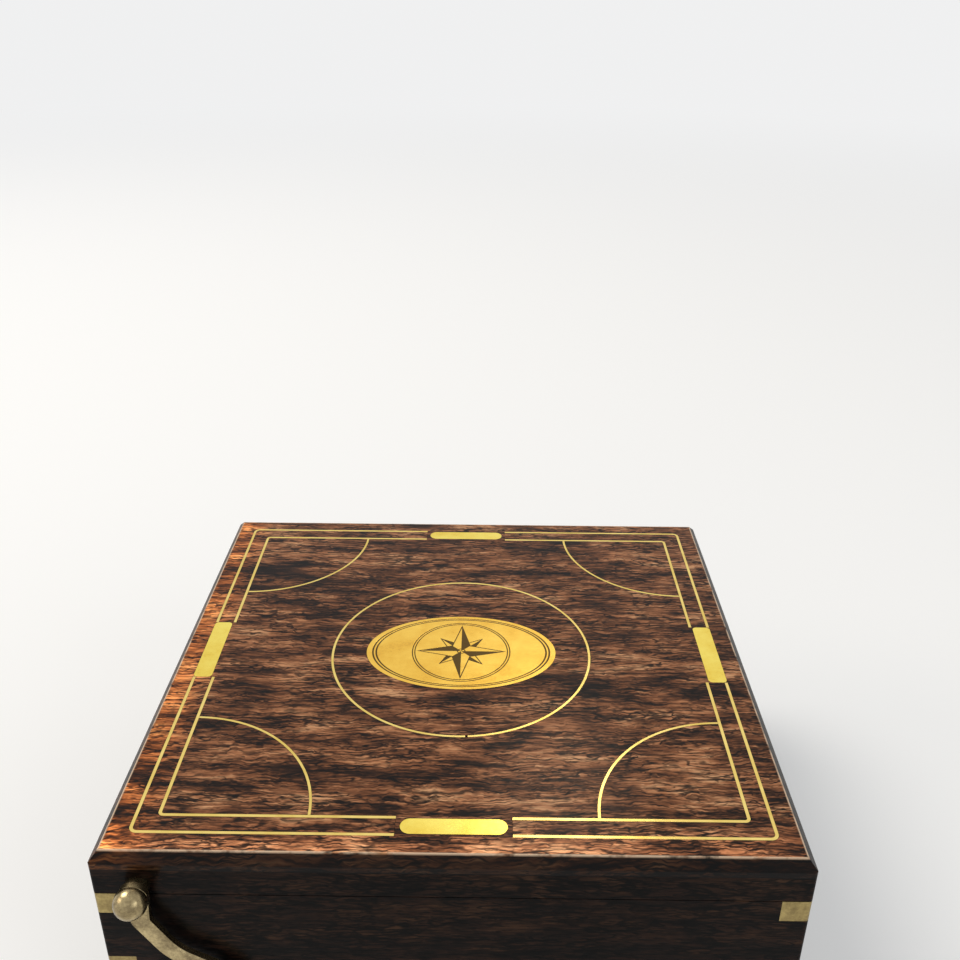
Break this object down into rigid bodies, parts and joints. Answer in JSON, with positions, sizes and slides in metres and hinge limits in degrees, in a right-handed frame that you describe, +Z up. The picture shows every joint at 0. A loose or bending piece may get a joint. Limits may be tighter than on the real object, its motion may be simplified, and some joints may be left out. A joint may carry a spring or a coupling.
{
  "type": "sextant box",
  "caption": "Hardwood case with mitred corners, brass line inlay and corner straps, a bevelled lid on butt hinges with a swing hook, and a lined inside that cradles a small sextant.",
  "frame": {"origin": "centre of the underside, where the box stands", "axes": "+Z up, -Y towards the front with the hook, +X to the right of someone facing the front"},
  "size_m": [0.1652, 0.1673, 0.0814],
  "materials": {
    "lid_wood": "satin varnish",
    "wall_wood": "satin varnish",
    "bottom_wood": "plain",
    "surround_wood": "satin varnish",
    "fitting_wood": "oiled",
    "inlay_brass": "polished",
    "strap_brass": "aged satin",
    "aged_brass": "aged",
    "pin_brass": "satin",
    "velvet": "pile",
    "felt": "felt"
  },
  "bodies": {
    "case": {"wall_front": "wall_wood", "wall_right": "wall_wood", "wall_back": "wall_wood", "wall_left": "wall_wood", "bottom_board": "bottom_wood", "base_felt": "felt", "corner_straps_front_left": "strap_brass", "corner_straps_front_right": "strap_brass", "corner_straps_back_left": "strap_brass", "corner_straps_back_right": "strap_brass", "lining_front": "velvet", "lining_back": "velvet", "lining_left": "velvet", "lining_right": "velvet", "floor_pad": "velvet", "leg_rests": "fitting_wood", "handle_rest_front": "fitting_wood", "handle_rest_back": "fitting_wood", "hinge_left_case_leaf": "aged_brass", "hinge_right_case_leaf": "aged_brass", "hinge_left_pin": "pin_brass", "hinge_right_pin": "pin_brass", "catch_stud": "aged_brass", "catch_base": "aged_brass"},
    "lid": {"lid_panel": "lid_wood", "lid_rail_front": "wall_wood", "lid_rail_right": "wall_wood", "lid_rail_back": "wall_wood", "lid_rail_left": "wall_wood", "outer_line": "inlay_brass", "inner_line": "inlay_brass", "corner_arcs": "inlay_brass", "centre_ring": "inlay_brass", "oval_plate": "inlay_brass", "border_plates": "inlay_brass", "side_plates": "inlay_brass", "plate_surrounds": "surround_wood", "lid_pad": "velvet", "hinge_left_lid_leaf": "aged_brass", "hinge_right_lid_leaf": "aged_brass", "hook_pivot": "aged_brass", "hook_washer": "aged_brass"},
    "hook": {"hook": "aged_brass"}
  },
  "joints": [
    {"name": "lid_hinge", "type": "hinge", "parent": "case", "child": "lid", "pos_m": [0, 0.0773, 0.0699], "axis": [-1, 0, 0], "range_deg": [0, 100]},
    {"name": "hook_swing", "type": "hinge", "parent": "lid", "child": "hook", "pos_m": [-0.0721, -0.0793, 0.0724], "axis": [0, -1, 0], "range_deg": [-31, 149]}
  ]
}
